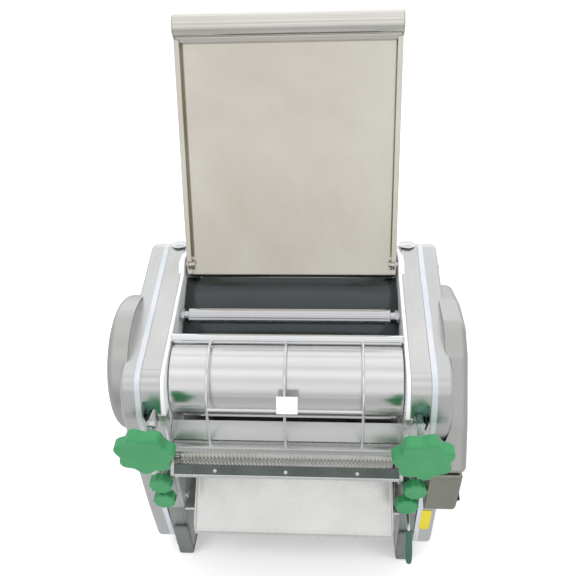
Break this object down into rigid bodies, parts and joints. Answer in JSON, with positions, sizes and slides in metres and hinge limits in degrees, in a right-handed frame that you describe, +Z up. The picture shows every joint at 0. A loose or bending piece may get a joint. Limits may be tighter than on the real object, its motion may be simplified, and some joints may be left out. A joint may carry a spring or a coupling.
{
  "type": "electric dough sheeter",
  "caption": "Table-top electric dough sheeter: chromed rollers with a setting screw each side, folding feed tray, wire guard, noodle cutter and discharge chute.",
  "frame": {"origin": "on the surface that the machine stands on, below the middle of its outline", "axes": "+X to the right as the user at the front sees it, +Y to the back, +Z up"},
  "size_m": [0.3756, 0.3286, 0.6208],
  "materials": {
    "cast_grey": "smooth grey enamel on a casting",
    "nylon": "white nylon, sawn and polished edge",
    "polished_steel": "bright polished stainless steel",
    "brushed_steel": "brushed stainless sheet, satin",
    "dark_mirror_steel": "mirror-finished stainless sheet that reflects the dark inside",
    "box_steel": "satin stainless sheet, olive-grey reflection",
    "chromed_roller": "hard chromed and ground",
    "machined_steel": "turned and milled steel, light oil",
    "cast_iron": "machined grey iron",
    "brass": "cast bearing bronze",
    "foot_rubber": "moulded dark rubber",
    "belt_rubber": "ribbed fabric-covered rubber",
    "motor_paint": "dark grey stoving enamel",
    "light_plastic": "moulded can",
    "black_plastic": "moulded, fine grain",
    "green_plastic": "moulded, semi-gloss",
    "dark_green_rubber": "dipped soft grip"
  },
  "bodies": {
    "housing": {"left_side_frame": "cast_grey", "right_side_frame": "cast_grey", "left_cheek_liner": "nylon", "right_cheek_liner": "nylon", "left_trim_band": "polished_steel", "right_trim_band": "polished_steel", "left_main_cover": "brushed_steel", "right_main_cover": "brushed_steel", "left_gear_cover": "brushed_steel", "right_belt_cover": "brushed_steel", "control_box": "box_steel", "rear_cover": "brushed_steel", "base_pan": "brushed_steel", "tie_rods": "machined_steel", "throat_bar": "polished_steel", "feed_plate": "dark_mirror_steel", "front_scraper": "brushed_steel", "rear_scraper": "brushed_steel", "guard_bar": "polished_steel", "guard_wires": "polished_steel", "guard_clips": "polished_steel", "discharge_chute": "brushed_steel", "panel_screws": "machined_steel", "tray_pivot_pins": "machined_steel", "rubber_feet": "foot_rubber", "motor_body": "motor_paint", "motor_bracket": "machined_steel", "run_capacitor": "light_plastic", "cord_gland": "black_plastic", "roller_bearings": "machined_steel", "gap_nuts": "green_plastic", "drive_belt": "belt_rubber", "cutter_end_plates": "brushed_steel", "cutter_top_bar": "brushed_steel", "cutter_comb_plate": "dark_mirror_steel", "clamp_studs": "machined_steel"},
    "tray": {"feed_tray": "brushed_steel", "tray_end_caps": "brushed_steel"},
    "rear_drive": {"rear_roller": "chromed_roller", "rear_roller_gear": "machined_steel", "main_gear": "machined_steel"},
    "carriage": {"front_bearing_blocks": "brass"},
    "front_drive": {"front_roller": "chromed_roller", "front_roller_gear": "machined_steel"},
    "left_setting": {"left_gap_screw": "machined_steel", "left_gap_knob": "green_plastic"},
    "right_setting": {"right_gap_screw": "machined_steel", "right_gap_knob": "green_plastic"},
    "jack": {"jackshaft": "machined_steel", "large_pulley": "cast_iron"},
    "motor_rotor": {"motor_pulley": "cast_iron"},
    "cutter_upper": {"upper_cutter_roller": "chromed_roller"},
    "cutter_lower": {"lower_cutter_roller": "chromed_roller"},
    "knob_lu": {"left_upper_knob": "green_plastic"},
    "knob_ll": {"left_lower_knob": "green_plastic"},
    "knob_ru": {"right_upper_knob": "green_plastic"},
    "knob_rl": {"right_lower_knob": "green_plastic"},
    "clutch": {"clutch_lever": "machined_steel", "lever_grip": "dark_green_rubber"},
    "switch": {"power_rocker": "black_plastic"}
  },
  "joints": [
    {"name": "tray_fold", "type": "hinge", "parent": "housing", "child": "tray", "pos_m": [0, 0.04795, 0.354], "axis": [1, 0, 0], "range_deg": [0, 100]},
    {"name": "rear_roller_spin", "type": "hinge", "parent": "housing", "child": "rear_drive", "pos_m": [0, 0.0321, 0.27102], "axis": [1, 0, 0], "continuous": true},
    {"name": "roller_gap", "type": "slide", "parent": "housing", "child": "carriage", "axis": [0, -0.9744, -0.225], "range_m": [0, 0.003]},
    {"name": "front_roller_spin", "type": "hinge", "parent": "carriage", "child": "front_drive", "pos_m": [0, -0.05445, 0.268], "axis": [1, 0, 0], "continuous": true},
    {"name": "left_setting_turn", "type": "hinge", "parent": "carriage", "child": "left_setting", "pos_m": [-0.137, -0.05445, 0.268], "axis": [0, -0.9744, -0.225], "range_deg": [0, 541]},
    {"name": "right_setting_turn", "type": "hinge", "parent": "carriage", "child": "right_setting", "pos_m": [0.137, -0.05445, 0.268], "axis": [0, -0.9744, -0.225], "range_deg": [0, 541]},
    {"name": "jackshaft_spin", "type": "hinge", "parent": "housing", "child": "jack", "pos_m": [0.16, -0.0319, 0.21135], "axis": [1, 0, 0], "continuous": true},
    {"name": "motor_spin", "type": "hinge", "parent": "housing", "child": "motor_rotor", "pos_m": [0.16, 0.08995, 0.082], "axis": [1, 0, 0], "continuous": true},
    {"name": "upper_cutter_spin", "type": "hinge", "parent": "housing", "child": "cutter_upper", "pos_m": [0, -0.10505, 0.205], "axis": [1, 0, 0], "continuous": true},
    {"name": "lower_cutter_spin", "type": "hinge", "parent": "housing", "child": "cutter_lower", "pos_m": [0, -0.09091, 0.18815], "axis": [1, 0, 0], "continuous": true},
    {"name": "left_upper_knob_turn", "type": "hinge", "parent": "housing", "child": "knob_lu", "pos_m": [-0.137, -0.09846, 0.175], "axis": [0, -0.9815, -0.1915], "range_deg": [0, 1080]},
    {"name": "left_lower_knob_turn", "type": "hinge", "parent": "housing", "child": "knob_ll", "pos_m": [-0.137, -0.093, 0.147], "axis": [0, -0.9815, -0.1915], "range_deg": [0, 1080]},
    {"name": "right_upper_knob_turn", "type": "hinge", "parent": "housing", "child": "knob_ru", "pos_m": [0.137, -0.09846, 0.175], "axis": [0, -0.9815, -0.1915], "range_deg": [0, 1080]},
    {"name": "right_lower_knob_turn", "type": "hinge", "parent": "housing", "child": "knob_rl", "pos_m": [0.13, -0.093, 0.147], "axis": [0, -0.9815, -0.1915], "range_deg": [0, 1080]},
    {"name": "clutch_lift", "type": "hinge", "parent": "housing", "child": "clutch", "pos_m": [0.133, -0.05305, 0.128], "axis": [-1, 0, 0], "range_deg": [0, 7]},
    {"name": "power_rock", "type": "hinge", "parent": "housing", "child": "switch", "pos_m": [0.1806, -0.10675, 0.159], "axis": [0, 1, 0], "range_deg": [0, 10]}
  ],
  "couplings": [
    {"joint": "front_roller_spin", "follows": "rear_roller_spin", "ratio": -1},
    {"joint": "jackshaft_spin", "follows": "rear_roller_spin", "ratio": -3.375},
    {"joint": "motor_spin", "follows": "rear_roller_spin", "ratio": -10.788},
    {"joint": "left_setting_turn", "follows": "roller_gap", "rad_per_m": 3141.6},
    {"joint": "right_setting_turn", "follows": "roller_gap", "rad_per_m": 3141.6},
    {"joint": "lower_cutter_spin", "follows": "upper_cutter_spin", "ratio": -1}
  ]
}
